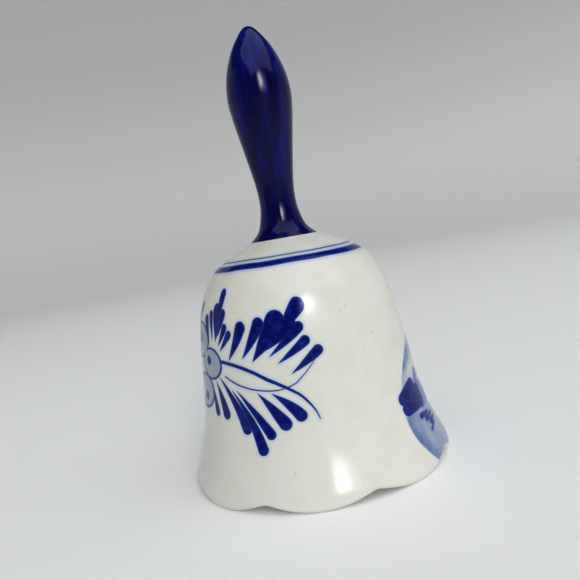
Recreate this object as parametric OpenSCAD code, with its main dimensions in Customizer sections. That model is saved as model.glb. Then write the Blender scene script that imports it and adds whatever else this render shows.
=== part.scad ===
// Porcelain hand bell: a hollow flared body with a scalloped rim, a tall
// tapered hollow handle on its crown, and a bead clapper that hangs from a
// wire staple cemented into the neck. Millimetres, +Z up. The origin is the
// centre of the rim plane, and the middle of one lobe lies on -Y.

/* [Body] */
// Diameter across the rim
rim_d = 77; // [74:0.5:80]
// Height from the rim to the seat of the handle
body_h = 68.3; // [66:0.1:70]
// Wall thickness of the body
body_wall = 3; // [2.6:0.1:3.4]

/* [Scalloped rim] */
// Number of lobes round the rim
lobes = 8; // [8:1:10]
// Depth of the scallops
scallop_depth = 2.2; // [1.6:0.1:2.6]
// Depth ground flat under each lobe, where the bell stands
land_depth = 0.05; // [0.03:0.01:0.1]
// Rounding of the rim's two edges
rim_round = 0.8; // [0.4:0.1:1]

/* [Handle] */
// Height from the body's seat to the tip
handle_h = 61.7; // [58:0.1:64]
// Largest diameter, in the upper half
handle_d = 18.8; // [18:0.1:20]
// Wall thickness of the handle
handle_wall = 2.5; // [2.2:0.1:2.6]

/* [Clapper] */
// Diameter of the bead
bead_d = 15; // [12:0.5:16]
// Height of the bead's centre above the rim
bead_z = 17; // [16:0.5:19]
// Radial clearance of the bead on its wire
bead_clearance = 0.08; // [0.05:0.01:0.1]
// Wire diameter of the clapper and of the hanging ring
wire_d = 1.2; // [1:0.1:1.3]
// Wire diameter of the staple
staple_wire_d = 1.5; // [1.4:0.1:1.6]
// Gap where one wire hangs on another
hang_gap = 0.1; // [0.05:0.01:0.12]

/* [Hidden] */
$fn = 96;
eps = 0.01;

porcelain = [0.90, 0.90, 0.86];
cobalt = [0.05, 0.07, 0.30];
plaster = [0.80, 0.78, 0.72];
brass = [0.78, 0.62, 0.30];

// Outer outline of the body at its nominal size, rim to seat: [radius, height]
nominal_rim_r = 38.5;
nominal_body_h = 68.3;
body_knots = [
    [38.5, 0.8], [38.0, 3.5], [36.4, 8], [34.1, 14], [32.4, 22], [31.0, 32],
    [29.9, 42], [27.8, 52], [23.8, 60], [18.4, 64.3], [10.0, 68.3]
];

// Outer outline of the handle at its nominal size, foot to tip, heights from the seat
nominal_handle_r = 9.4;
nominal_handle_h = 61.7;
handle_knots = [
    [9.8, 0], [7.4, 2.6], [6.1, 6], [5.4, 10.5], [5.7, 16.5], [7.3, 26.5], [8.9, 36],
    [9.4, 42], [8.5, 48.5], [6.2, 54.7], [3.5, 59], [1.3, 61.4]
];

steps = 4;            // spline steps between two knots
crown_hole_r = 4;     // hole through the crown
neck_bore_r = 2.9;    // bore up the handle's neck
neck_bore_h = 10.5;   // height of the straight part of that bore
crown_t = 3;          // thickness of the crown round its hole
crown_flat_r = 8;     // flat underside of the crown

plug_flange_r = 6.5;  // smear of cement under the crown
plug_flange_t = 1.2;
plug_depth = 8;       // how far the cement goes up the neck

staple_gap_r = 1.8;   // half the distance between the staple's legs
staple_drop = 6;      // from the crown's inner face to the centre of the staple's bend
staple_set = 6.5;     // how far the legs reach above the seat

ring_r = 3;           // centre line of the hanging ring
eye_r = 1.6;          // centre line of the clapper wire's eye and of its end curl

// Levels, from the crown down
crown_z = body_h - crown_t;
wire_r = wire_d / 2;
staple_wire_r = staple_wire_d / 2;
staple_bend_z = crown_z - staple_drop;
staple_pivot_z = staple_bend_z - staple_gap_r;
ring_z = staple_pivot_z + staple_wire_r + hang_gap + wire_r - ring_r;
ring_pivot_z = ring_z - ring_r;
eye_z = ring_pivot_z + 2 * wire_r + hang_gap - eye_r;
bead_bottom_z = bead_z - bead_d / 2;
curl_z = bead_bottom_z - hang_gap - wire_r - eye_r;

// Point of a Catmull-Rom spline at t, from b to c
function spline_point(a, b, c, d, t) =
    0.5 * (2 * b + (c - a) * t + (2 * a - 5 * b + 4 * c - d) * t * t + (3 * b - a - 3 * c + d) * t * t * t);

// Smooth line through a list of knots, with its end slopes carried on
function smooth(knots) =
    let (last = len(knots) - 1)
    [
        for (i = [0 : last - 1])
            let (
                before = i > 0 ? knots[i - 1] : 2 * knots[0] - knots[1],
                after = i < last - 1 ? knots[i + 2] : 2 * knots[last] - knots[last - 1]
            )
            for (s = [0 : steps - 1])
                spline_point(before, knots[i], knots[i + 1], after, s / steps),
        knots[last]
    ];

// The same line moved inwards by a wall thickness
function inset(line, wall) =
    let (last = len(line) - 1)
    [
        for (i = [0 : last])
            let (along = line[min(i + 1, last)] - line[max(i - 1, 0)])
            line[i] + wall * [-along.y, along.x] / norm(along)
    ];

function scaled(knots, radial, vertical) = [for (k = knots) [k.x * radial, k.y * vertical]];

function quarter_arc(centre, r, from) = [for (a = [0 : 22.5 : 90]) centre + r * [cos(from + a), sin(from + a)]];

body_line = smooth(scaled(body_knots, rim_d / 2 / nominal_rim_r, body_h / nominal_body_h));
handle_line = smooth(scaled(handle_knots, handle_d / 2 / nominal_handle_r, handle_h / nominal_handle_h));

// Inner lines: the body's stops at its crown, the handle's starts above its straight bore
body_inner_line = [for (p = inset(body_line, body_wall)) if (p.y > rim_round && p.y < crown_z - eps) p];
handle_inner_line = [
    for (p = inset(handle_line, handle_wall))
        if (p.x > eps && p.y > neck_bore_h + eps && p.y < handle_h - handle_wall) p
];

// Flared hollow body with lobes cut round its rim
module bell_shell() {
    rim_inner_r = body_inner_line[0].x;
    last = len(body_inner_line) - 1;
    color(porcelain)
    difference() {
        rotate_extrude()
            polygon(concat(
                quarter_arc([rim_d / 2 - rim_round, rim_round], rim_round, -90),
                [for (i = [1 : len(body_line) - 1]) body_line[i]],
                [[crown_hole_r, body_h], [crown_hole_r, crown_z], [crown_flat_r, crown_z]],
                [for (i = [last : -1 : 0]) body_inner_line[i]],
                quarter_arc([rim_inner_r + rim_round, rim_round], rim_round, 180)
            ));
        for (i = [0 : lobes - 1])
            rotate(-90 + (i + 0.5) * 360 / lobes)
                scallop_cutter();
    }
}

// Bar along +X under one cusp of the rim: the space left between two round lobes
module scallop_cutter() {
    half_pitch = rim_d / 2 * sin(180 / lobes);
    depth = scallop_depth + land_depth;
    lobe_r = (half_pitch * half_pitch + depth * depth) / (2 * depth);
    bar_from = rim_d / 2 - 3 * body_wall;
    translate([bar_from, 0, 0])
        rotate([90, 0, 90])
            linear_extrude(height = 4 * body_wall)
                difference() {
                    translate([-half_pitch, -1])
                        square([2 * half_pitch, 1 + scallop_depth]);
                    for (side = [-1, 1])
                        translate([side * half_pitch, lobe_r - land_depth])
                            circle(r = lobe_r, $fn = 720);
                }
}

// Tapered handle, cast hollow, with its foot flat on the body's seat
module handle() {
    top = len(handle_inner_line) - 1;
    color(cobalt)
    translate([0, 0, body_h])
        rotate_extrude()
            polygon(concat(
                [[neck_bore_r, 0]],
                handle_line,
                [[0, handle_h], [0, handle_h - handle_wall]],
                [for (i = [top : -1 : 0]) handle_inner_line[i]],
                [[neck_bore_r, neck_bore_h]]
            ));
}

// Cement that fills the crown hole and the neck round the staple's legs
module crown_plug() {
    color(plaster)
    difference() {
        rotate_extrude()
            polygon([
                [0, crown_z - plug_flange_t], [plug_flange_r - plug_flange_t, crown_z - plug_flange_t],
                [plug_flange_r, crown_z], [crown_hole_r, crown_z], [crown_hole_r, body_h],
                [neck_bore_r, body_h], [neck_bore_r, body_h + plug_depth], [0, body_h + plug_depth]
            ]);
        staple_legs();
    }
}

module staple_legs() {
    for (side = [-1, 1])
        translate([side * staple_gap_r, 0, staple_bend_z])
            cylinder(r = staple_wire_r, h = body_h + staple_set - staple_bend_z);
}

// Wire bent into a U, legs up in the cement
module staple() {
    color(brass) {
        staple_legs();
        translate([0, 0, staple_bend_z])
            rotate([-90, 0, 0])
                rotate_extrude(angle = 180)
                    translate([staple_gap_r, 0])
                        circle(r = staple_wire_r);
    }
}

module wire_ring(centre_r, r) {
    rotate_extrude()
        translate([centre_r, 0])
            circle(r = r);
}

// Closed ring that hangs on the staple, in the YZ plane
module hanging_ring() {
    color(brass)
    translate([0, 0, ring_z])
        rotate([0, 90, 0])
            wire_ring(ring_r, wire_r);
}

// Straight wire with an eye at the top and a curl at the bottom that carries the bead
module clapper_wire() {
    color(brass) {
        for (z = [eye_z, curl_z])
            translate([0, 0, z])
                rotate([90, 0, 0])
                    wire_ring(eye_r, wire_r);
        translate([0, 0, curl_z + eye_r])
            cylinder(r = wire_r, h = eye_z - curl_z - 2 * eye_r);
    }
}

// Glazed bead, drilled for its wire
module clapper_bead() {
    color(porcelain)
    translate([0, 0, bead_z])
        difference() {
            sphere(d = bead_d);
            cylinder(r = wire_r + bead_clearance, h = bead_d + 1, center = true);
        }
}

bell_shell();
handle();
crown_plug();
staple();
hanging_ring();
clapper_wire();
clapper_bead();
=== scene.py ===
"""A blue-and-white porcelain hand bell, dressed around its CAD frame.

Lengths are written in millimetres and turned into metres by MM. Azimuths are in
degrees, from -Y towards +X. The painting is drawn in the shader: each brush
stroke is given by its two ends, as (azimuth, height), its two half widths and its bow.
"""
import math
import bpy
from mathutils import Matrix, Vector, noise


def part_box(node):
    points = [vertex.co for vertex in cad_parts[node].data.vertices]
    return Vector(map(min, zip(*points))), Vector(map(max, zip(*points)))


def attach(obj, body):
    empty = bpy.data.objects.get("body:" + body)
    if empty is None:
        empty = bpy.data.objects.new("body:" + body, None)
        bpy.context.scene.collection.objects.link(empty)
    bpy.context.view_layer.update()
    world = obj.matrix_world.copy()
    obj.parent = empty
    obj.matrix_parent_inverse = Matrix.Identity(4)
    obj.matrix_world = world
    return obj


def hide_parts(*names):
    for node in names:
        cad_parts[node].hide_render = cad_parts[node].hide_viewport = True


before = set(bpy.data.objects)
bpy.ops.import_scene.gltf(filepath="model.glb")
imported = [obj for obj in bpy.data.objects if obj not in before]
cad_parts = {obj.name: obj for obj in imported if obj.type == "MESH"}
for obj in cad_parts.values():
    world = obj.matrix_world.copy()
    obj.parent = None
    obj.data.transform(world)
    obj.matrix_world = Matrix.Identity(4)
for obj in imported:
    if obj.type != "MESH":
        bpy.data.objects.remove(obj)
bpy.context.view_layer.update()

MM = 0.001

# Heights and radii of the CAD model, in millimetres
BODY_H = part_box("bell_shell")[1].z / MM
TIP_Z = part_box("handle")[1].z / MM
BEAD_R = (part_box("clapper_bead")[1].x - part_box("clapper_bead")[0].x) / 2 / MM
BEAD_Z = (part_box("clapper_bead")[1].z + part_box("clapper_bead")[0].z) / 2 / MM
WIRE_R = (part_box("hanging_ring")[1].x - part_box("hanging_ring")[0].x) / 2 / MM
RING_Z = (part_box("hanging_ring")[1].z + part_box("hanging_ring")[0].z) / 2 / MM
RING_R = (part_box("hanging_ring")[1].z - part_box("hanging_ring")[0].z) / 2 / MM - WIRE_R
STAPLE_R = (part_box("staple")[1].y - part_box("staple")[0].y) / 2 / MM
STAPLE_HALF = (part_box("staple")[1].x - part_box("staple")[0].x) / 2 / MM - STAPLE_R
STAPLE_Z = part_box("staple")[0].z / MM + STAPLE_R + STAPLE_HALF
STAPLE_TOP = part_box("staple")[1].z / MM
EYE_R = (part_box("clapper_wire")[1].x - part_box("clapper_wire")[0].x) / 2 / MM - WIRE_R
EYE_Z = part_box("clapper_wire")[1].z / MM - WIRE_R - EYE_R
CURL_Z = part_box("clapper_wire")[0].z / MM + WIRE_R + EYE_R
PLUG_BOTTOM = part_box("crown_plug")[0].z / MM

# Outlines, to 0.2 mm those of the CAD model: (radius, height), the handle's from the body's seat
WALL = 3.0
BODY_KNOTS = [
    (38.5, 0.8), (38.1, 3.5), (36.25, 8), (34.1, 14), (32.4, 22), (31.0, 32),
    (29.9, 42), (27.8, 52), (23.8, 60), (18.4, 64.3), (10.0, BODY_H),
]
HANDLE_KNOTS = [
    (9.98, 0), (7.4, 2.6), (6.1, 6), (5.4, 10.5), (5.7, 16.5), (7.3, 26.5), (8.9, 36),
    (9.4, 42), (8.5, 48.5), (6.2, 54.7), (3.5, 59), (1.5, 61.2), (0.0, TIP_Z - BODY_H),
]
CROWN_HOLE_R = 4.0
CROWN_FLAT_R = 8.0
CROWN_Z = BODY_H - WALL
NECK_BORE_R = 2.9
NECK_BORE_H = 10.5
HANDLE_WALL = 2.5

# Scalloped rim
LOBES = 8
SCALLOP_DEPTH = 2.7       # before the cusps are rounded
CUSP_ROUNDING = 0.1       # as a part of half a lobe
RIM_EDGE_H = 1.3          # height of the rounded edge
RIM_BLEND_H = 18.0        # the scallops fade out in the mesh by this height
EDGE_STEPS = 14           # steps round the rounded edge


# ---------------------------------------------------------------- curves

def spline(knots, steps):
    """Points of a Catmull-Rom spline through the knots."""
    line = []
    last = len(knots) - 1
    for i in range(last):
        b, c = Vector(knots[i]), Vector(knots[i + 1])
        a = Vector(knots[i - 1]) if i else 2 * b - c
        d = Vector(knots[i + 2]) if i < last - 1 else 2 * c - b
        for s in range(steps):
            t = s / steps
            line.append(0.5 * (2 * b + (c - a) * t + (2 * a - 5 * b + 4 * c - d) * t ** 2
                               + (3 * b - a - 3 * c + d) * t ** 3))
    line.append(Vector(knots[last]))
    return line


def inset(line, wall):
    """The line moved to its left by a wall thickness, which is inwards for a line that climbs."""
    moved = []
    for i, point in enumerate(line):
        along = (line[min(i + 1, len(line) - 1)] - line[max(i - 1, 0)]).normalized()
        moved.append(point + wall * Vector((-along.y, along.x)))
    return moved


def radius_at(line, z):
    """Radius of a climbing outline at height z."""
    for low, high in zip(line, line[1:]):
        if z <= high.y:
            return low.x + (high.x - low.x) * (z - low.y) / (high.y - low.y)
    return line[-1].x


def smoothstep(t):
    """0 up to t = 0, 1 from t = 1, smooth between."""
    t = min(max(t, 0.0), 1.0)
    return t * t * (3 - 2 * t)


# ---------------------------------------------------------------- meshes

CUT_ROUNDING = 0.3        # rounding of a wire's cut end, as a part of its radius


def mesh_object(name, vertices, faces, slots=None, sharp_angle=22):
    """A smooth mesh object from points in millimetres."""
    mesh = bpy.data.meshes.new(name)
    mesh.from_pydata([Vector(v) * MM for v in vertices], [], faces)
    mesh.polygons.foreach_set("use_smooth", [True] * len(faces))
    if slots:
        mesh.polygons.foreach_set("material_index", slots)
    mesh.set_sharp_from_angle(angle=math.radians(sharp_angle))
    mesh.update()
    obj = bpy.data.objects.new(name, mesh)
    bpy.context.scene.collection.objects.link(obj)
    return obj


def lathe(name, profile_at, segments, closed, slot_at=None):
    """Turns a profile round Z. profile_at(angle) lists (r, z), from the top down the outside, with
    the same count at each angle. A closed profile is a loop clear of the axis; an open one starts
    and ends on the axis."""
    angles = [2 * math.pi * s / segments for s in range(segments)]
    columns = [profile_at(angle) for angle in angles]
    count = len(columns[0])
    rows = range(count) if closed else range(1, count - 1)
    vertices = [(columns[s][i][0] * math.sin(a), -columns[s][i][0] * math.cos(a), columns[s][i][1])
                for i in rows for s, a in enumerate(angles)]
    faces, slots = [], []
    bands = len(rows) if closed else len(rows) - 1
    for i in range(bands):
        below, above = i * segments, (i + 1) % len(rows) * segments
        for s in range(segments):
            n = (s + 1) % segments
            faces.append((above + s, above + n, below + n, below + s))
            slots.append(slot_at(i, math.degrees(angles[s])) if slot_at else 0)
    if not closed:
        for row, end in ((0, columns[0][0]), (len(rows) - 1, columns[0][-1])):
            pole = len(vertices)
            vertices.append((0, 0, end[1]))
            for s in range(segments):
                n = (s + 1) % segments
                edge = (row * segments + s, row * segments + n)
                faces.append((*edge, pole) if row == 0 else (*reversed(edge), pole))
                slots.append(0)
    return mesh_object(name, vertices, faces, slots)


def tube(name, path, radius, sides=20):
    """A round wire along a path of points, in millimetres, with its cut ends slightly rounded."""
    path = [Vector(p) for p in path]
    count = len(path)
    tangents = []
    for i in range(count):
        tangents.append((path[min(i + 1, count - 1)] - path[max(i - 1, 0)]).normalized())
    side = tangents[0].orthogonal().normalized()
    vertices = []
    for point, tangent in zip(path, tangents):
        side = (side - tangent * side.dot(tangent)).normalized()
        other = tangent.cross(side)
        for k in range(sides):
            turn = 2 * math.pi * k / sides
            vertices.append(point + radius * (side * math.cos(turn) + other * math.sin(turn)))
    faces = []
    for i in range(count - 1):
        a, b = i * sides, (i + 1) * sides
        for k in range(sides):
            n = (k + 1) % sides
            faces.append((a + k, a + n, b + n, b + k))
    for i, sign in ((0, -1), (count - 1, 1)):
        rim = [i * sides + k for k in range(sides)]
        inner = []
        for index in rim:
            inner.append(len(vertices))
            inwards = (vertices[index] - path[i]) * CUT_ROUNDING
            vertices.append(vertices[index] - inwards + tangents[i] * sign * radius * CUT_ROUNDING)
        ring = list(zip(rim, rim[1:] + rim[:1], inner[1:] + inner[:1], inner))
        faces += [tuple(reversed(f)) for f in ring] if sign < 0 else ring
        faces.append(tuple(reversed(inner)) if sign < 0 else tuple(inner))
    return mesh_object(name, vertices, faces, sharp_angle=40)


def arc(centre, radius, start, end, plane, count=32):
    """Points of an arc in the XZ or YZ plane, degrees counted from up, towards +X or +Y."""
    points = []
    for i in range(count + 1):
        turn = math.radians(start + (end - start) * i / count)
        across, up = radius * math.sin(turn), radius * math.cos(turn)
        offset = Vector((across, 0, up)) if plane == "XZ" else Vector((0, across, up))
        points.append(Vector(centre) + offset)
    return points


# ---------------------------------------------------------------- shader nodes

class Shade:
    """Adds shader nodes to a tree. Arguments are sockets or plain values."""

    def __init__(self, tree):
        self.tree = tree

    def put(self, socket, value):
        if isinstance(value, bpy.types.NodeSocket):
            self.tree.links.new(value, socket)
        elif value is not None:
            socket.default_value = value

    def node(self, kind, **settings):
        node = self.tree.nodes.new(kind)
        for key, value in settings.items():
            setattr(node, key, value)
        return node

    def math(self, operation, *values):
        node = self.node("ShaderNodeMath", operation=operation)
        for socket, value in zip(node.inputs, values):
            self.put(socket, value)
        return node.outputs[0]

    def clamp(self, value):
        node = self.node("ShaderNodeClamp")
        self.put(node.inputs[0], value)
        return node.outputs[0]

    def vector(self, operation, *values):
        node = self.node("ShaderNodeVectorMath", operation=operation)
        for socket, value in zip(node.inputs, values):
            self.put(socket, value)
        return node.outputs["Value" if operation in ("LENGTH", "DOT_PRODUCT") else "Vector"]

    def combine(self, x, y, z=0.0):
        node = self.node("ShaderNodeCombineXYZ")
        for socket, value in zip(node.inputs, (x, y, z)):
            self.put(socket, value)
        return node.outputs[0]

    def split(self, vector):
        node = self.node("ShaderNodeSeparateXYZ")
        self.put(node.inputs[0], vector)
        return node.outputs

    def fade(self, value, start, end):
        """0 at start, 1 at end, smooth between."""
        node = self.node("ShaderNodeMapRange", interpolation_type="SMOOTHSTEP")
        for key, entry in (("Value", value), ("From Min", start), ("From Max", end)):
            self.put(node.inputs[key], entry)
        return node.outputs[0]

    def ramp(self, factor, stops):
        node = self.node("ShaderNodeValToRGB")
        self.put(node.inputs[0], factor)
        elements = node.color_ramp.elements
        while len(elements) < len(stops):
            elements.new(1.0)
        for element, (position, colour) in zip(elements, stops):
            element.position = position
            element.color = (*colour, 1)
        return node.outputs[0]

    def mix(self, factor, a, b, blend="MIX"):
        node = self.node("ShaderNodeMix", data_type="RGBA", blend_type=blend)
        for socket, value in ((node.inputs[0], factor), (node.inputs[6], a), (node.inputs[7], b)):
            if isinstance(value, tuple):
                value = (*value, 1)
            self.put(socket, value)
        return node.outputs[2]

    def noise(self, vector, scale, detail=2.0, colour=False, roughness=0.5):
        node = self.node("ShaderNodeTexNoise")
        values = {"Vector": vector, "Scale": scale, "Detail": detail, "Roughness": roughness}
        for key, value in values.items():
            self.put(node.inputs[key], value)
        return node.outputs["Color" if colour else "Fac"]

    def bump(self, height, strength, distance):
        node = self.node("ShaderNodeBump")
        for key, value in (("Height", height), ("Strength", strength), ("Distance", distance)):
            self.put(node.inputs[key], value)
        return node.outputs[0]


def new_material(name):
    """A plain node material, as (material, shade, principled shader, place in mm)."""
    material = bpy.data.materials.new(name)
    material.use_nodes = True
    tree = material.node_tree
    shader = tree.nodes["Principled BSDF"]
    shade = Shade(tree)
    place = shade.vector("SCALE", shade.node("ShaderNodeTexCoord").outputs["Object"])
    place.node.inputs["Scale"].default_value = 1 / MM
    return material, shade, shader, place


# ---------------------------------------------------------------- painting

CHART_R = 31.0                     # radius of the cylinder that the painting's chart is laid on
DEGREE = math.radians(1) * CHART_R  # one degree of azimuth on the chart, in mm
PAINT_TURN = 3.4                   # the painting and the camera are turned from the rim's lobes

BLOOM_AZIMUTH = -82.0              # middle of the flower
BLOOM_Z = 36.8

LEAF_TIP = 0.08                    # half width of a leaf's tip
TAPER = 1.4                        # above 1, a stroke keeps its first width for longer
PETAL_LINE = 0.3                   # half widths of the lines round the petals and the core
CORE_LINE = 0.16

# Leaves of the flower: tip (azimuth, z), middle of the round end, its half width, and how far the
# leaf bows to the left on the way from its round end to its tip
LEAVES = [
    ((-50.5, 45.5), (-46.3, 56.2), 1.4, 0.0), ((-51.8, 43.8), (-50.8, 52.1), 1.85, 0.0),
    ((-50.8, 44.6), (-45.0, 51.1), 1.25, 0.2), ((-55.2, 44.3), (-56.6, 51.0), 1.2, 0.0),
    ((-59.3, 42.6), (-62.2, 49.6), 1.45, 0.0), ((-49.6, 42.7), (-43.8, 47.4), 1.15, 0.2),
    ((-48.0, 41.2), (-40.7, 45.6), 1.1, 0.1), ((-41.5, 38.8), (-32.4, 47.1), 1.75, 0.3),
    ((-32.3, 39.2), (-21.5, 47.6), 1.8, 0.3), ((-26.5, 38.2), (-12.3, 47.7), 3.0, 0.2),
    ((-20.0, 40.5), (-5.5, 46.4), 2.2, 0.0), ((-12.5, 43.8), (0.3, 50.9), 2.2, 0.0),
    ((-17.0, 39.1), (-0.9, 45.5), 1.5, 0.1), ((-13.2, 37.1), (1.4, 41.9), 1.35, 0.1),
    ((-7.2, 34.2), (6.8, 39.0), 1.4, 0.1), ((-58.8, 32.3), (-54.5, 24.5), 1.1, 0.0),
    ((-54.0, 32.9), (-46.7, 24.4), 1.5, -0.2), ((-50.6, 34.2), (-33.8, 20.9), 1.5, -0.9),
    ((-41.5, 30.8), (-25.8, 15.7), 1.5, -1.1), ((-38.2, 30.7), (-21.2, 19.4), 1.35, -0.4),
    ((-25.8, 29.9), (-13.8, 21.8), 1.7, -0.2), ((-18.5, 29.6), (-6.2, 23.5), 1.6, -0.4),
    ((-81.0, 47.0), (-71.5, 53.3), 1.0, 0.0), ((-79.0, 48.0), (-80.5, 54.3), 1.0, 0.0),
]
# Stem and tendril: start, end, the two half widths and the bow
STEM = [((-48.5, 38.4), (-20.0, 33.3), 0.5, 0.5, 0.95),
        ((-20.0, 33.3), (-6.0, 29.0), 0.5, 0.36, 0.2),
        ((-6.0, 29.0), (2.2, 22.0), 0.36, 0.13, 0.6)]
TENDRIL = [((-45.4, 34.4), (-20.0, 30.4), 0.22, 0.17, -0.75),
           ((-20.0, 30.4), (-6.0, 31.7), 0.17, 0.15, -0.5),
           ((-6.0, 31.7), (6.0, 37.7), 0.15, 0.08, -0.25)]

# Petals: middle (azimuth, z) and half axes in mm. Their dark hearts: middle and half height
PETALS = [
    ((-58.5, 37.6), (5.6, 4.2)), ((-72.0, 43.8), (6.2, 4.9)), ((-69.0, 29.6), (6.2, 4.7)),
    ((-105.5, 37.6), (5.6, 4.2)), ((-92.0, 43.8), (6.2, 4.9)), ((-95.0, 29.6), (6.2, 4.7)),
]
HEARTS = [((-60.6, 38.4), 1.3), ((-72.2, 44.3), 1.5), ((-67.5, 28.2), 1.3),
          ((-103.5, 38.4), 1.3), ((-92.0, 44.3), 1.5), ((-96.5, 28.2), 1.3)]
HEART_ASPECT = 1.1
BLOOM_CORE = [((BLOOM_AZIMUTH, BLOOM_Z), (5.2, 4.0)), ((BLOOM_AZIMUTH, BLOOM_Z - 0.4), (2.4, 1.8))]

# Strength of each wash
PETAL_WASH = 0.5
SKY_WASH = 0.22            # all over the landscape, and the next four are added to it
WATER_WASH = 0.42
CLOUD_WASH = 0.42
TREE_WASH = 0.9
BORDER_WASH = 0.25


def chart(azimuth, z):
    """Place on the painting's flat chart, in mm."""
    return Vector((azimuth * DEGREE, z))


def stroke_group():
    """Node group for one brush stroke: distance in mm to its edge, below zero inside."""
    tree = bpy.data.node_groups.new("brush stroke", "ShaderNodeTree")
    for name in ("Point", "Start", "Along", "Across"):
        tree.interface.new_socket(name, in_out="INPUT", socket_type="NodeSocketVector")
    for name in ("Length", "Half width", "Widening", "Bow"):
        tree.interface.new_socket(name, in_out="INPUT", socket_type="NodeSocketFloat")
    tree.interface.new_socket("Edge", in_out="OUTPUT", socket_type="NodeSocketFloat")
    shade = Shade(tree)
    given = shade.node("NodeGroupInput").outputs
    offset = shade.vector("SUBTRACT", given["Point"], given["Start"])
    along = shade.vector("DOT_PRODUCT", offset, given["Along"])
    across = shade.vector("DOT_PRODUCT", offset, given["Across"])
    part = shade.clamp(shade.math("DIVIDE", along, given["Length"]))
    beyond = shade.math("SUBTRACT", along, shade.math("MULTIPLY", part, given["Length"]))
    arch = shade.math("MULTIPLY", shade.math("MULTIPLY", part, 4.0), shade.math("SUBTRACT", 1.0, part))
    across = shade.math("SUBTRACT", across, shade.math("MULTIPLY", arch, given["Bow"]))
    distance = shade.vector("LENGTH", shade.combine(beyond, across))
    taper = shade.math("POWER", part, TAPER)
    half_width = shade.math("MULTIPLY_ADD", taper, given["Widening"], given["Half width"])
    result = shade.node("NodeGroupOutput")
    shade.put(result.inputs[0], shade.math("SUBTRACT", distance, half_width))
    return tree


STROKE = stroke_group()


def stroke(shade, point, start, end, start_half, end_half, bow=0.0):
    """Adds one brush stroke. The ends are (azimuth, z), and it bows to its left."""
    a, b = chart(*start), chart(*end)
    along = (b - a).normalized()
    node = shade.node("ShaderNodeGroup", node_tree=STROKE)
    values = {"Point": point, "Start": (*a, 0), "Along": (*along, 0), "Across": (-along.y, along.x, 0),
              "Length": (b - a).length, "Half width": start_half, "Widening": end_half - start_half,
              "Bow": bow}
    for key, value in values.items():
        shade.put(node.inputs[key], value)
    return node.outputs[0]


def oval(shade, point, middle, axes):
    """Distance in mm, roughly, to the edge of an oval."""
    offset = shade.vector("SUBTRACT", point, (*chart(*middle), 0))
    scaled = shade.vector("MULTIPLY", offset, (1 / axes[0], 1 / axes[1], 0))
    reach = shade.math("SUBTRACT", shade.vector("LENGTH", scaled), 1.0)
    return shade.math("MULTIPLY", reach, min(axes))


def union(shade, edges):
    """Edge distance of several shapes together. Each shape from a generator is joined as it is made,
    which keeps the shader's working memory small."""
    nearest = None
    for edge in edges:
        nearest = edge if nearest is None else shade.math("MINIMUM", nearest, edge)
    return nearest


def outline(shade, edge, half_width):
    """The line along the edge of a shape."""
    return shade.math("SUBTRACT", shade.math("ABSOLUTE", edge), half_width)


def mirrored(entry):
    """The same stroke on the other side of the flower."""
    (a, a_z), (b, b_z), *widths, bow = entry
    return ((2 * BLOOM_AZIMUTH - a, a_z), (2 * BLOOM_AZIMUTH - b, b_z), *widths, -bow)


def paint_flower(shade, point):
    """The flower spray: (ink edge, wash edge, strength of the wash)."""
    strokes = [(end, tip, half, LEAF_TIP, bow) for tip, end, half, bow in LEAVES] + STEM + TENDRIL
    strokes += [mirrored(entry) for entry in strokes]
    ink = union(shade, (stroke(shade, point, *entry) for entry in strokes))
    petals = union(shade, (oval(shade, point, *petal) for petal in PETALS))
    core = union(shade, (outline(shade, oval(shade, point, *entry), CORE_LINE) for entry in BLOOM_CORE))
    hearts = union(shade, (oval(shade, point, middle, (half * HEART_ASPECT, half))
                           for middle, half in HEARTS))
    return union(shade, (ink, outline(shade, petals, PETAL_LINE), core, hearts)), petals, PETAL_WASH


# Landscape, as strokes: start, end, the two half widths and the bow
BUSHES = [((46.8, 20.1), (58.6, 22.4), 1.7, 1.9, 0.2), ((48.3, 17.3), (64.0, 17.4), 2.0, 2.1, 0.0),
          ((54.0, 20.5), (63.0, 19.5), 2.4, 2.6, 0.0), ((82.0, 17.0), (90.0, 16.8), 1.7, 1.9, 0.0),
          ((112.0, 16.6), (121.0, 17.2), 1.3, 1.8, 0.0), ((121.0, 18.0), (127.0, 17.0), 2.2, 1.2, 0.0)]
THIN_TREES = [((64.0, 17.5), (77.0, 17.0), 2.4, 1.6, 0.0), ((66.5, 22.0), (69.5, 24.4), 2.0, 1.5, 0.0),
              ((128.0, 16.6), (146.0, 15.8), 1.3, 0.8, 0.0), ((72.0, 19.5), (76.0, 18.0), 2.2, 1.2, 0.0)]
REFLECTIONS = [((57.2, 13.5), (67.0, 13.2), 0.8, 0.45, 0.0), ((61.2, 12.0), (72.0, 12.2), 0.75, 0.4, 0.0),
               ((64.2, 10.6), (73.0, 10.9), 0.8, 0.3, 0.0), ((60.8, 8.9), (68.0, 9.9), 0.35, 0.5, 0.0),
               ((96.0, 12.6), (111.0, 12.4), 0.55, 0.2, 0.0), ((99.0, 10.6), (108.0, 10.8), 0.45, 0.2, 0.0),
               ((84.0, 8.0), (96.0, 7.6), 0.3, 0.15, 0.0), ((118.0, 9.4), (129.0, 9.0), 0.35, 0.15, 0.0),
               ((104.0, 5.6), (118.0, 5.4), 0.3, 0.12, 0.0)]
MILL = [((101.0, 16.0), (101.0, 28.5), 2.3, 1.35, 0.0), ((99.4, 29.6), (102.6, 29.6), 0.9, 0.9, 0.0),
        ((101.0, 29.5), (112.0, 36.0), 0.22, 0.16, 0.0), ((101.0, 29.5), (90.0, 23.0), 0.22, 0.16, 0.0),
        ((101.0, 29.5), (93.5, 35.8), 0.22, 0.16, 0.0), ((101.0, 29.5), (108.5, 23.2), 0.22, 0.16, 0.0)]
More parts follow.
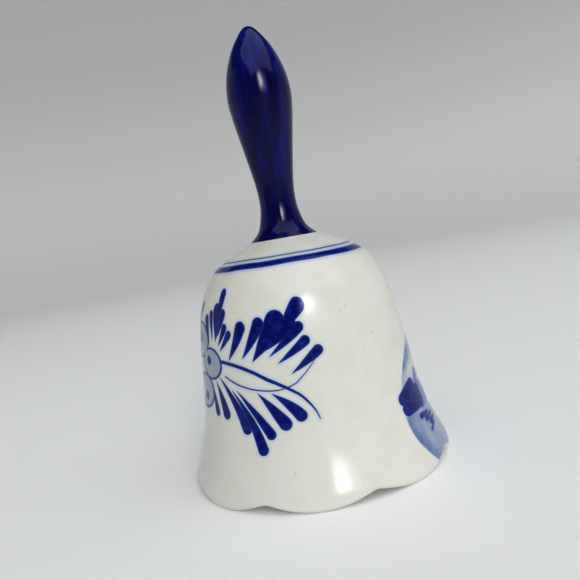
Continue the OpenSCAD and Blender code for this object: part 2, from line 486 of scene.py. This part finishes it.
SAILS = [((104.3, 32.4), (111.2, 36.5), 0.55, 0.6, 0.0), ((97.7, 26.6), (90.8, 22.5), 0.55, 0.6, 0.0),
         ((98.9, 32.3), (94.0, 36.3), 0.55, 0.6, 0.0), ((103.1, 26.7), (108.0, 22.7), 0.55, 0.6, 0.0)]
HOUSE = [((86.0, 21.4), (94.5, 21.4), 0.35, 0.35, 0.0), ((86.0, 21.4), (88.0, 23.8), 0.2, 0.2, 0.0),
         ((94.5, 21.4), (92.5, 23.8), 0.2, 0.2, 0.0), ((88.0, 23.8), (92.5, 23.8), 0.3, 0.3, 0.0),
         ((86.6, 16.5), (86.6, 21.0), 0.2, 0.2, 0.0), ((90.0, 17.0), (90.0, 19.4), 0.4, 0.4, 0.0)]
BOAT = [((134.0, 11.2), (144.0, 11.4), 0.5, 0.5, -0.5), ((139.0, 11.5), (139.3, 20.5), 0.14, 0.1, 0.0),
        ((138.6, 19.0), (134.6, 12.8), 0.1, 0.9, 0.0), ((140.2, 18.0), (142.6, 12.8), 0.1, 0.8, 0.0)]
BIRDS = [((117.0, 33.4), (119.5, 32.6), 0.1, 0.22, 0.4), ((119.5, 32.6), (122.0, 33.6), 0.22, 0.1, 0.4),
         ((124.0, 30.2), (126.0, 29.6), 0.08, 0.18, 0.3), ((126.0, 29.6), (128.0, 30.4), 0.18, 0.08, 0.3)]
CLOUDS = [((56.0, 28.4), (70.0, 30.6), 1.2, 1.8, 0.5), ((74.0, 31.5), (88.0, 33.0), 1.4, 0.8, 0.4),
          ((112.0, 26.5), (126.0, 25.5), 1.2, 0.7, 0.4)]
LAND = ((103.0, 14.5), (31.4, 23.5))       # middle and half axes of the oval it is painted in
SHORE = (15.8, 14.8)                       # the water's wash starts between these heights

# Soft edges: where each wash is none and where it is full, in mm from the edge of its shape
CLOUD_EDGE = (1.8, -0.8)
TREE_EDGE = (0.6, -0.6)
BORDER_EDGE = (-3.5, -0.3)


def paint_landscape(shade, point):
    """A windmill by the water: (ink edge, wash edge, strength of the wash)."""
    ink = union(shade, (stroke(shade, point, *entry) for entry in
                        BUSHES + REFLECTIONS + MILL + SAILS + HOUSE + BOAT + BIRDS))
    thin = union(shade, (stroke(shade, point, *entry) for entry in THIN_TREES))
    clouds = union(shade, (stroke(shade, point, *entry) for entry in CLOUDS))
    wash = oval(shade, point, *LAND)
    level = shade.split(point)[1]
    water = shade.math("MULTIPLY", shade.fade(level, *SHORE), WATER_WASH)
    sky = shade.math("MULTIPLY", shade.fade(clouds, *CLOUD_EDGE), CLOUD_WASH)
    strength = shade.math("ADD", shade.math("MAXIMUM", water, sky), SKY_WASH)
    strength = shade.math("ADD", strength, shade.math("MULTIPLY", shade.fade(thin, *TREE_EDGE), TREE_WASH))
    border = shade.math("MULTIPLY", shade.fade(wash, *BORDER_EDGE), BORDER_WASH)
    return ink, wash, shade.math("ADD", strength, border)


# ---------------------------------------------------------------- glaze

WHITE = (0.775, 0.79, 0.745)
WARM_WHITE = (0.79, 0.78, 0.72)
INK_DEEP = (0.002, 0.004, 0.15)
INK_THIN = (0.010, 0.05, 0.32)
HALO = (0.62, 0.74, 1.0)            # tint of the cobalt that bleeds out of a stroke
WASH = (0.13, 0.22, 0.44)
THIN_RING = (0.10, 0.15, 0.30)
MOTTLE = (0.86, 0.85, 0.80)         # faint clouding of the white glaze
SPECK = (0.22, 0.19, 0.15)

# Noise scales are per mm
TONE_SCALE = 0.035
MOTTLE_SCALE = 0.16
MOTTLE_FADE = (0.42, 0.72)
MOTTLE_STRENGTH = 0.22
SPECK_SCALE = 0.4
SPECK_EDGE = (0.11, 0.04)
SPECK_GAPS = 0.55                   # part of the pattern's cells that have no speck
SPECK_STRENGTH = 0.6
RUN_SCALE = 0.45                    # the runs in the cobalt glaze
RUN_STRETCH = (1.0, 1.0, 0.16)

DULLNESS_SCALE = 0.2
WHITE_DULLNESS = (0.06, 0.09)       # roughness: this much of a noise, and this added
COBALT_DULLNESS = 0.12
WHITE_SHINE = 0.30                  # specular level of each glaze
COBALT_SHINE = 0.34
RIPPLE_STRENGTH = 0.5               # the glaze's slow waves
RIPPLE_DEPTH = 0.12                 # mm
RIPPLE_SCALE = 0.12
COBALT_RIPPLE_SCALE = 0.15
FINE_RIPPLE = 0.06                  # and the finer ones on the white
FINE_RIPPLE_SCALE = 0.9

WASH_SCALE = 0.5
WASH_STRETCH = (1.0, 0.35, 1.0)
WASH_STREAKS = (0.9, 0.6)           # strength of a wash: this much of a noise, and this added
WASH_EDGE = (0.3, -0.3)

BLEED_EDGE = (1.1, -0.1)            # mm from a stroke's edge, where the cobalt's bleed is none and full
BLEED_STRENGTH = 0.55
INK_SOFTNESS = 0.09                 # mm, half width of a stroke's soft edge
INK_THIN_EDGE = 0.7                 # mm, the ink is thinner this far in from its edge
INK_PATCH_SCALE = 0.9
INK_PATCHES = (0.5, -0.25)          # and that edge is uneven: this much of a noise, and this added
INK_BODY_SCALE = 0.5
INK_BODY = (2.2, -0.25)             # depth of the ink away from its edge, likewise
WANDER = 0.2                        # mm, wander of the brush
WANDER_SCALE = 0.35

BAND_Z, BAND_HALF = 62.4, 0.7       # the thick band round the shoulder
LINE_Z, LINE_HALF = 63.95, 0.14     # and the thin line above it
RING_WAVER = 0.9                    # mm, how far they wander up and down
WAVER_SCALE = 0.05
RING_BLEED = 0.9                    # mm
RING_TINT = 0.45
LINE_EDGE = (0.12, -0.08)

# Colours along a noise: (place, colour)
COBALT_RUNS = [(0.40, (0.001, 0.001, 0.055)), (0.60, (0.002, 0.003, 0.12)), (0.90, (0.006, 0.022, 0.28))]
BRASS_TARNISH = [(0.3, (0.30, 0.20, 0.09)), (0.55, (0.62, 0.44, 0.18)), (0.8, (0.78, 0.58, 0.27))]
CEMENT_GRAIN = [(0.3, (0.36, 0.33, 0.28)), (0.7, (0.62, 0.59, 0.52))]
TIP_FADE = (108.0, 124.0)           # the handle's glaze grows thinner between these heights
TIP_PALENESS = 0.15

TARNISH_SCALE = 0.8
BRASS_DULLNESS = (-0.3, 0.5)        # roughness: this much of the tarnish's noise, and this added
DRAW_SCALE = 2.0                    # the fine lines of a drawn wire
DRAW_STRETCH = (6.0, 6.0, 0.4)
DRAW_STRENGTH, DRAW_DEPTH = 0.3, 0.02
GRAIN_SCALE = 1.2
CEMENT_DULLNESS = 0.9
GRAIN_STRENGTH, GRAIN_DEPTH = 0.8, 0.25


def painted_point(shade, place):
    """Chart point of a place on the bell, with the slight wander of a brush."""
    x, y, z = shade.split(place)
    azimuth = shade.math("ARCTAN2", x, shade.math("MULTIPLY", y, -1.0))
    azimuth = shade.math("SUBTRACT", azimuth, math.radians(PAINT_TURN))
    flat = shade.combine(shade.math("MULTIPLY", azimuth, CHART_R), z)
    wander = shade.vector("SUBTRACT", shade.noise(flat, WANDER_SCALE, colour=True), (0.5, 0.5, 0.5))
    wander = shade.vector("MULTIPLY", wander, (WANDER, WANDER, 0.0))
    return shade.vector("ADD", flat, wander)


def lay_ink(shade, ground, edge, place):
    """Cobalt over a ground colour: a pale bleed round it, and deeper where it is thick."""
    bleed = shade.math("MULTIPLY", shade.fade(edge, *BLEED_EDGE), BLEED_STRENGTH)
    ground = shade.mix(bleed, ground, HALO, "MULTIPLY")
    patch = shade.math("MULTIPLY_ADD", shade.noise(place, INK_PATCH_SCALE, 3.0), *INK_PATCHES)
    depth = shade.fade(shade.math("ADD", edge, patch), 0.0, -INK_THIN_EDGE)
    body = shade.clamp(shade.math("MULTIPLY_ADD", shade.noise(place, INK_BODY_SCALE, 3.0), *INK_BODY))
    depth = shade.math("MULTIPLY", depth, body)
    ink = shade.mix(depth, INK_THIN, INK_DEEP)
    return shade.mix(shade.fade(edge, INK_SOFTNESS, -INK_SOFTNESS), ground, ink)


def ring_edges(shade, place):
    """Edges of the thick band and of the thin line round the shoulder."""
    waver = shade.math("MULTIPLY_ADD", shade.noise(place, WAVER_SCALE), RING_WAVER, -RING_WAVER / 2)
    z = shade.math("ADD", shade.split(place)[2], waver)
    return [outline(shade, shade.math("SUBTRACT", z, middle), half)
            for middle, half in ((BAND_Z, BAND_HALF), (LINE_Z, LINE_HALF))]


def glaze_material(name, paint=None, rings=False):
    """White porcelain glaze, with part of the painting on it."""
    material, shade, shader, place = new_material(name)
    tone = shade.noise(place, TONE_SCALE, 3.0)
    colour = shade.mix(tone, WHITE, WARM_WHITE)
    if paint:
        point = painted_point(shade, place)
        ink, wash, strength = paint(shade, point)
        streaks = shade.noise(shade.vector("MULTIPLY", point, WASH_STRETCH), WASH_SCALE, 3.0)
        strength = shade.math("MULTIPLY", shade.math("MULTIPLY_ADD", streaks, *WASH_STREAKS), strength)
        amount = shade.clamp(shade.math("MULTIPLY", shade.fade(wash, *WASH_EDGE), strength))
        colour = shade.mix(amount, colour, WASH)
        colour = lay_ink(shade, colour, ink, place)
    if rings:
        band, line = ring_edges(shade, place)
        tint = shade.fade(shade.math("MINIMUM", band, line), RING_BLEED, 0.0)
        colour = shade.mix(shade.math("MULTIPLY", tint, RING_TINT), colour, HALO, "MULTIPLY")
        colour = shade.mix(shade.fade(line, *LINE_EDGE), colour, THIN_RING)
        colour = lay_ink(shade, colour, band, place)
    clouding = shade.fade(shade.noise(place, MOTTLE_SCALE, 4.0), *MOTTLE_FADE)
    mottle = shade.math("MULTIPLY", clouding, MOTTLE_STRENGTH)
    colour = shade.mix(mottle, colour, MOTTLE, "MULTIPLY")
    specks = shade.node("ShaderNodeTexVoronoi")
    shade.put(specks.inputs["Vector"], place)
    specks.inputs["Scale"].default_value = SPECK_SCALE
    chance, darkness, _ = shade.split(specks.outputs["Color"])
    spot = shade.math("MULTIPLY", shade.fade(specks.outputs["Distance"], *SPECK_EDGE),
                      shade.math("GREATER_THAN", chance, SPECK_GAPS))
    spot = shade.math("MULTIPLY", spot, shade.math("MULTIPLY", darkness, SPECK_STRENGTH))
    colour = shade.mix(spot, colour, SPECK)
    shade.put(shader.inputs["Base Color"], colour)
    dullness = shade.math("MULTIPLY_ADD", shade.noise(place, DULLNESS_SCALE), *WHITE_DULLNESS)
    shade.put(shader.inputs["Roughness"], dullness)
    shader.inputs["Specular IOR Level"].default_value = WHITE_SHINE
    fine = shade.math("MULTIPLY", shade.noise(place, FINE_RIPPLE_SCALE), FINE_RIPPLE)
    ripple = shade.math("ADD", shade.noise(place, RIPPLE_SCALE), fine)
    shade.put(shader.inputs["Normal"], shade.bump(ripple, RIPPLE_STRENGTH, RIPPLE_DEPTH * MM))
    return material


def cobalt_material():
    """Deep cobalt glaze, lighter in streaks and at the tip, where it has run thin."""
    material, shade, shader, place = new_material("cobalt glaze")
    streaks = shade.vector("MULTIPLY", place, RUN_STRETCH)
    run = shade.noise(streaks, RUN_SCALE, 4.0, roughness=0.6)
    run = shade.math("MULTIPLY_ADD", shade.fade(shade.split(place)[2], *TIP_FADE), TIP_PALENESS, run)
    shade.put(shader.inputs["Base Color"], shade.ramp(run, COBALT_RUNS))
    shader.inputs["Roughness"].default_value = COBALT_DULLNESS
    shader.inputs["Specular IOR Level"].default_value = COBALT_SHINE
    ripple = shade.noise(place, COBALT_RIPPLE_SCALE)
    shade.put(shader.inputs["Normal"], shade.bump(ripple, RIPPLE_STRENGTH, RIPPLE_DEPTH * MM))
    return material


def brass_material():
    """Drawn brass wire, tarnished in patches."""
    material, shade, shader, place = new_material("brass wire")
    tarnish = shade.noise(place, TARNISH_SCALE, 4.0)
    shade.put(shader.inputs["Base Color"], shade.ramp(tarnish, BRASS_TARNISH))
    shader.inputs["Metallic"].default_value = 1.0
    shade.put(shader.inputs["Roughness"], shade.math("MULTIPLY_ADD", tarnish, *BRASS_DULLNESS))
    draw_lines = shade.noise(shade.vector("MULTIPLY", place, DRAW_STRETCH), DRAW_SCALE)
    shade.put(shader.inputs["Normal"], shade.bump(draw_lines, DRAW_STRENGTH, DRAW_DEPTH * MM))
    return material


def cement_material():
    """Cast cement, chalky and pitted."""
    material, shade, shader, place = new_material("cast cement")
    grain = shade.noise(place, GRAIN_SCALE, 6.0, roughness=0.65)
    shade.put(shader.inputs["Base Color"], shade.ramp(grain, CEMENT_GRAIN))
    shader.inputs["Roughness"].default_value = CEMENT_DULLNESS
    shade.put(shader.inputs["Normal"], shade.bump(grain, GRAIN_STRENGTH, GRAIN_DEPTH * MM))
    return material


# ---------------------------------------------------------------- pieces

SHELL_SEGMENTS = 360
FLOWER_SPAN = (-178.0, 15.0)       # azimuths of the bell's faces that each painting needs
LANDSCAPE_SPAN = (36.0, 172.0)
RING_FROM_Z = 60.0                 # the faces above this have the rings
WALL_STEPS = 16                    # steps between two knots, in the lines that radii are read from
ROW_STEPS = 8                      # and in the mesh's rows outside
INNER_ROWS = 3                     # the rows inside are at each third point
BELOW_RIM_Z = -1.0                 # the wall's lines are carried down to here
RIM_FLARE = 0.05                   # and widen by this
EDGE_TOP_Z = 2.0                   # the rounded edge takes over below here

HANDLE_SEGMENTS = 180
HANDLE_STEPS = 10
AXIS_GAP = 0.01                    # the hollow's line stops this far from the axis

# The dab of cement under the crown, its lumps in mm and its uneven outline as a part of its radius
PLUG_R = 6.4
PLUG_STEPS = 16
PLUG_DEPTH = 8                     # up the handle's neck
LUMP_SCALE, LUMP_HEIGHT = 0.45, 0.35
LUMP_FADE_STEPS = 5                # it has no lumps where it meets the crown
SPREAD_SCALE, SPREAD = 2.2, 0.05

# Ends of each bent wire, in degrees from up, and the points between the clapper's eye and its shaft,
# across and below the bottom of the eye
STAPLE_ENDS = (-90, -270)
RING_ENDS = (78, 434)
EYE_ENDS = (205, 520)
CURL_ENDS = (0, 335)
NECK = [(0.35, 0.7), (0.0, 2.2)]
RING_POINTS = 64
EYE_POINTS = 48

BEAD_CLEARANCE = 0.12
BEAD_SINK = 0.5                    # radius of the rounding at the ends of the bead's bore
BEAD_STEPS = 48
SINK_STEPS = 6
ROUND_SEGMENTS = 96                # round the cement and the bead


def scallop(angle):
    """Height of the rim's edge at an angle from the middle of a lobe."""
    from_cusp = 1 - abs((angle * LOBES / math.pi + 1) % 2 - 1)
    soft = math.hypot(from_cusp, CUSP_ROUNDING) - math.hypot(1, CUSP_ROUNDING) + 1
    return SCALLOP_DEPTH * (1 - soft) ** 2


def build_shell():
    """Body with its scalloped, fully rounded rim."""
    outer = spline(BODY_KNOTS, WALL_STEPS)
    inner = [p for p in inset(outer, WALL) if p.y < CROWN_Z]
    for line in (outer, inner):
        line.insert(0, Vector((line[0].x + RIM_FLARE, BELOW_RIM_Z)))
    outer_z = [p.y for p in reversed(spline(BODY_KNOTS, ROW_STEPS)) if p.y > EDGE_TOP_Z]
    inner_z = [p.y for p in inner[::INNER_ROWS] if p.y > EDGE_TOP_Z]

    def profile(angle):
        lift = scallop(angle)

        def lifted(line, z):
            z += lift * max(0, 1 - z / RIM_BLEND_H) ** 2
            return radius_at(line, z), z

        edge_z = lift + RIM_EDGE_H
        outside, inside = radius_at(outer, edge_z), radius_at(inner, edge_z)
        middle, half = (outside + inside) / 2, (outside - inside) / 2
        turns = [math.pi * k / EDGE_STEPS for k in range(EDGE_STEPS + 1)]
        edge = [(middle + half * math.cos(turn), edge_z - RIM_EDGE_H * math.sin(turn)) for turn in turns]
        return ([lifted(outer, z) for z in outer_z] + edge + [lifted(inner, z) for z in inner_z]
                + [(CROWN_FLAT_R, CROWN_Z), (CROWN_HOLE_R, CROWN_Z), (CROWN_HOLE_R, BODY_H)])

    def slot_at(row, azimuth):
        azimuth = (azimuth - PAINT_TURN + 180) % 360 - 180
        if row >= len(outer_z):
            return 0
        if outer_z[row] > RING_FROM_Z:
            return 1
        if FLOWER_SPAN[0] < azimuth < FLOWER_SPAN[1]:
            return 2
        return 3 if LANDSCAPE_SPAN[0] < azimuth < LANDSCAPE_SPAN[1] else 0

    shell = lathe("porcelain_body", profile, SHELL_SEGMENTS, True, slot_at)
    for material in (glaze_material("white glaze"), glaze_material("ringed glaze", rings=True),
                     glaze_material("flower glaze", paint_flower),
                     glaze_material("landscape glaze", paint_landscape)):
        shell.data.materials.append(material)
    return shell


def build_handle():
    """Tapered handle, hollow like the casting."""
    outer = spline(HANDLE_KNOTS, HANDLE_STEPS)
    hollow = [p for p in inset(outer, HANDLE_WALL)
              if p.x > AXIS_GAP and NECK_BORE_H < p.y < TIP_Z - BODY_H - HANDLE_WALL]
    line = list(reversed(outer)) + [Vector((NECK_BORE_R, 0)), Vector((NECK_BORE_R, NECK_BORE_H))]
    line += hollow + [Vector((0, TIP_Z - BODY_H - HANDLE_WALL))]
    handle = lathe("porcelain_handle", lambda angle: [(p.x, p.y + BODY_H) for p in line],
                   HANDLE_SEGMENTS, False)
    handle.data.materials.append(cobalt_material())
    return handle


def build_plug():
    """Cement pushed into the crown from below, with a lumpy, thumbed surface."""
    plug_top = BODY_H + PLUG_DEPTH

    def profile(angle):
        out = Vector((math.sin(angle), math.cos(angle), 0))
        line = [(0, plug_top), (NECK_BORE_R, plug_top), (NECK_BORE_R, BODY_H), (CROWN_HOLE_R, BODY_H),
                (CROWN_HOLE_R, CROWN_Z)]
        for k in range(PLUG_STEPS + 1):
            turn = math.pi / 2 * k / PLUG_STEPS
            reach = PLUG_R * math.cos(turn)
            lump = noise.noise(out * reach * LUMP_SCALE) * LUMP_HEIGHT * smoothstep(k / LUMP_FADE_STEPS)
            spread = 1 + SPREAD * noise.noise(out * SPREAD_SCALE) * math.cos(turn)
            line.append((reach * spread, CROWN_Z - (CROWN_Z - PLUG_BOTTOM) * math.sin(turn) + lump))
        return line

    plug = lathe("cement_plug", profile, ROUND_SEGMENTS, False)
    plug.data.materials.append(cement_material())
    return plug


def build_staple(brass):
    """A U of wire with its legs up in the cement."""
    path = [(-STAPLE_HALF, 0, STAPLE_TOP)]
    path += arc((0, 0, STAPLE_Z), STAPLE_HALF, *STAPLE_ENDS, "XZ")
    path += [(STAPLE_HALF, 0, STAPLE_TOP)]
    staple = tube("wire_staple", path, STAPLE_R)
    staple.data.materials.append(brass)
    return staple


def build_ring(brass):
    """A ring bent from wire, with the fine gap where its ends meet."""
    ring = tube("wire_ring", arc((0, 0, RING_Z), RING_R, *RING_ENDS, "YZ", RING_POINTS), WIRE_R)
    ring.data.materials.append(brass)
    return ring


def build_clapper_wire(brass):
    """Wire bent into an eye at the top and a curl under the bead."""
    eye = arc((0, 0, EYE_Z), EYE_R, *EYE_ENDS, "XZ", EYE_POINTS)
    neck = [Vector((across, 0, EYE_Z - EYE_R - below)) for across, below in NECK]
    curl = arc((0, 0, CURL_Z), EYE_R, *CURL_ENDS, "XZ", EYE_POINTS)
    wire = tube("bent_wire", eye + neck + curl, WIRE_R)
    wire.data.materials.append(brass)
    return wire


def build_bead():
    """Glazed bead with a softly countersunk bore."""
    bore = WIRE_R + BEAD_CLEARANCE
    start = math.asin((bore + BEAD_SINK) / BEAD_R)
    turns = [start + (math.pi - 2 * start) * k / BEAD_STEPS for k in range(BEAD_STEPS + 1)]
    line = [(BEAD_R * math.sin(turn), BEAD_Z + BEAD_R * math.cos(turn)) for turn in turns]
    top = BEAD_R * math.cos(start)
    for side in (-1, 1):
        for k in range(1, SINK_STEPS + 1):
            turn = math.pi / 2 * k / SINK_STEPS
            level = top - BEAD_SINK * (1 - math.cos(turn))
            point = (bore + BEAD_SINK * (1 - math.sin(turn)), BEAD_Z + side * level)
            line.insert(len(line) if side < 0 else 0, point)
    bead = lathe("porcelain_bead", lambda angle: line, ROUND_SEGMENTS, True)
    bead.data.materials.append(glaze_material("bead glaze"))
    return bead


# ---------------------------------------------------------------- camera, floor and light

CAMERA_DISTANCE = 186.4
CAMERA_Z = 69.0
CAMERA_PITCH = -5.05
CAMERA_YAW = -0.29
CAMERA_ROLL = -9.98
LENS = 38.7
SENSOR_WIDTH = 36.0

LIGHT_DISTANCE = 2500.0
LIGHT_AIM_Z = 55.0
SOFT_END = 0.45                    # how far a light's soft edges reach in, as a part of its height
SOFT_SIDE = 0.65                   # and of its width
PAPER = (0.88, 0.88, 0.875)        # the floor and the bowl it rises into
PAPER_SHADE_HIGH = (0.76, 0.76, 0.76)    # painted shade: it darkens upwards
PAPER_SHADE_NEAR = (0.33, 0.33, 0.33)    # and a deep painted shade in front of the bell
PAPER_DULLNESS = 0.95
PAPER_GLOW = 0.12                  # light that the paper gives off itself
FAR_GLOW = 0.13                    # added far out, where less light falls
HIGH_SHADE_FADE = (100.0, 1300.0)        # the paper changes between these heights,
NEAR_SHADE_FADE = (-100.0, -900.0)       # these places along Y
FAR_FADE = (1200.0, 3000.0)        # and these distances from the bell
FLOOR_R = 1300.0
SWEEP_R = 3000.0
SWEEP_STEPS = 24
FLOOR_RINGS = 8
FLOOR_SEGMENTS = 96
WORLD_COLOUR = (0.94, 0.97, 1.0)
WORLD_LIGHT = 0.07

# Name, azimuth, elevation, span in degrees, brightness in W/m2, colour, soft edges
LIGHTS = [
    ("window", 26, 23, (32, 33), 14.0, (1.0, 0.985, 0.94), True),
    ("lamp", 20, 26, (15, 24), 47.0, (1.0, 1.0, 1.0), True),
    ("ceiling", 30, 68, (80, 60), 3.9, (0.95, 0.98, 1.0), False),
]


def build_camera():
    """Camera turned PAINT_TURN degrees round the bell and rolled, so that the bell leans in its picture."""
    camera = bpy.data.objects.new("camera", bpy.data.cameras.new("camera"))
    camera.data.lens = LENS
    camera.data.sensor_width = SENSOR_WIDTH
    camera.data.clip_start = 0.01
    turn = Matrix.Rotation(math.radians(PAINT_TURN - CAMERA_YAW), 4, "Z")
    tilt = Matrix.Rotation(math.radians(90 + CAMERA_PITCH), 4, "X")
    roll = Matrix.Rotation(math.radians(CAMERA_ROLL), 4, "Z")
    side = Matrix.Rotation(math.radians(PAINT_TURN), 4, "Z")
    place = side @ Vector((0, -CAMERA_DISTANCE * MM, CAMERA_Z * MM))
    camera.matrix_world = Matrix.Translation(place) @ turn @ tilt @ roll
    bpy.context.scene.collection.objects.link(camera)
    bpy.context.scene.camera = camera


def light_panel(name, azimuth, elevation, span, brightness, colour, soft_edges):
    """A rectangle of light that spans so many degrees as the bell sees it, its brightness in W/m2.
    Soft edges leave only one of its upright sides crisp, like a window with a curtain."""
    light = bpy.data.lights.new(name, "AREA")
    light.shape = "RECTANGLE"
    half_width, half_height = (LIGHT_DISTANCE * MM * math.tan(math.radians(angle / 2)) for angle in span)
    light.size, light.size_y = 2 * half_width, 2 * half_height
    light.energy = brightness * light.size * light.size_y
    light.color = colour
    if soft_edges:
        light.use_nodes = True
        shade = Shade(light.node_tree)
        across, up, _ = shade.split(shade.node("ShaderNodeNewGeometry").outputs["Parametric"])
        ends = shade.math("MULTIPLY", shade.fade(up, 0.0, SOFT_END), shade.fade(up, 1.0, 1.0 - SOFT_END))
        side = shade.fade(across, 1.0, 1.0 - SOFT_SIDE)
        emission = light.node_tree.nodes["Emission"]
        shade.put(emission.inputs["Strength"], shade.math("MULTIPLY", ends, side))
    panel = bpy.data.objects.new(name, light)
    turn, rise = math.radians(azimuth), math.radians(elevation)
    out = Vector((math.sin(turn) * math.cos(rise), -math.cos(turn) * math.cos(rise), math.sin(rise)))
    panel.location = (out * LIGHT_DISTANCE + Vector((0, 0, LIGHT_AIM_Z))) * MM
    panel.rotation_euler = (-out).to_track_quat("-Z", "Y").to_euler()
    panel.visible_camera = False
    bpy.context.scene.collection.objects.link(panel)


def build_floor():
    """Pale paper: flat under the bell, and swept up all round it like a wide bowl."""
    rings = [(FLOOR_R * k / FLOOR_RINGS, 0.0) for k in range(1, FLOOR_RINGS)]
    for k in range(SWEEP_STEPS + 1):
        turn = math.pi / 2 * k / SWEEP_STEPS
        rings.append((FLOOR_R + SWEEP_R * math.sin(turn), SWEEP_R * (1 - math.cos(turn))))
    angles = [2 * math.pi * s / FLOOR_SEGMENTS for s in range(FLOOR_SEGMENTS)]
    vertices = [(r * math.sin(angle), -r * math.cos(angle), z) for r, z in rings for angle in angles]
    middle = len(vertices)
    vertices.append((0, 0, 0))
    faces = []
    for s in range(FLOOR_SEGMENTS):
        n = (s + 1) % FLOOR_SEGMENTS
        faces.append((middle, s, n))
        for i in range(len(rings) - 1):
            inner, outer = i * FLOOR_SEGMENTS, (i + 1) * FLOOR_SEGMENTS
            faces.append((inner + s, outer + s, outer + n, inner + n))
    floor = mesh_object("floor", vertices, faces)
    material, shade, shader, place = new_material("paper")
    shader.inputs["Roughness"].default_value = PAPER_DULLNESS
    _, depth, height = shade.split(place)
    # painted shade: the paper darkens upwards
    paper = shade.mix(shade.fade(height, *HIGH_SHADE_FADE), PAPER, PAPER_SHADE_HIGH)
    # painted shade: the paper darkens in front of the bell
    paper = shade.mix(shade.fade(depth, *NEAR_SHADE_FADE), paper, PAPER_SHADE_NEAR)
    shade.put(shader.inputs["Base Color"], paper)
    # the glow takes the paper's colour, its painted shade too
    shade.put(shader.inputs["Emission Color"], paper)
    far = shade.fade(shade.vector("LENGTH", place), *FAR_FADE)
    shade.put(shader.inputs["Emission Strength"], shade.math("MULTIPLY_ADD", far, FAR_GLOW, PAPER_GLOW))
    floor.data.materials.append(material)


def build_light():
    """Soft studio light, brightest from the bell's front right."""
    world = bpy.data.worlds.new("studio")
    world.use_nodes = True
    background = world.node_tree.nodes["Background"]
    background.inputs["Color"].default_value = (*WORLD_COLOUR, 1)
    background.inputs["Strength"].default_value = WORLD_LIGHT
    bpy.context.scene.world = world
    for entry in LIGHTS:
        light_panel(*entry)


build_camera()
build_floor()
build_light()
brass = brass_material()
for piece, body, node, slot in (
        (build_shell(), "bell", "bell_shell", "white_glaze"),
        (build_handle(), "bell", "handle", "cobalt_glaze"),
        (build_plug(), "bell", "crown_plug", "cement"),
        (build_staple(brass), "bell", "staple", "brass_wire"),
        (build_ring(brass), "ring", "hanging_ring", "brass_wire"),
        (build_clapper_wire(brass), "clapper", "clapper_wire", "brass_wire"),
        (build_bead(), "bead", "clapper_bead", "bead_glaze")):
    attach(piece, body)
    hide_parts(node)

bpy.context.scene.view_settings.view_transform = "Standard"
bpy.context.scene.view_settings.gamma = 0.8        # deepens the darks
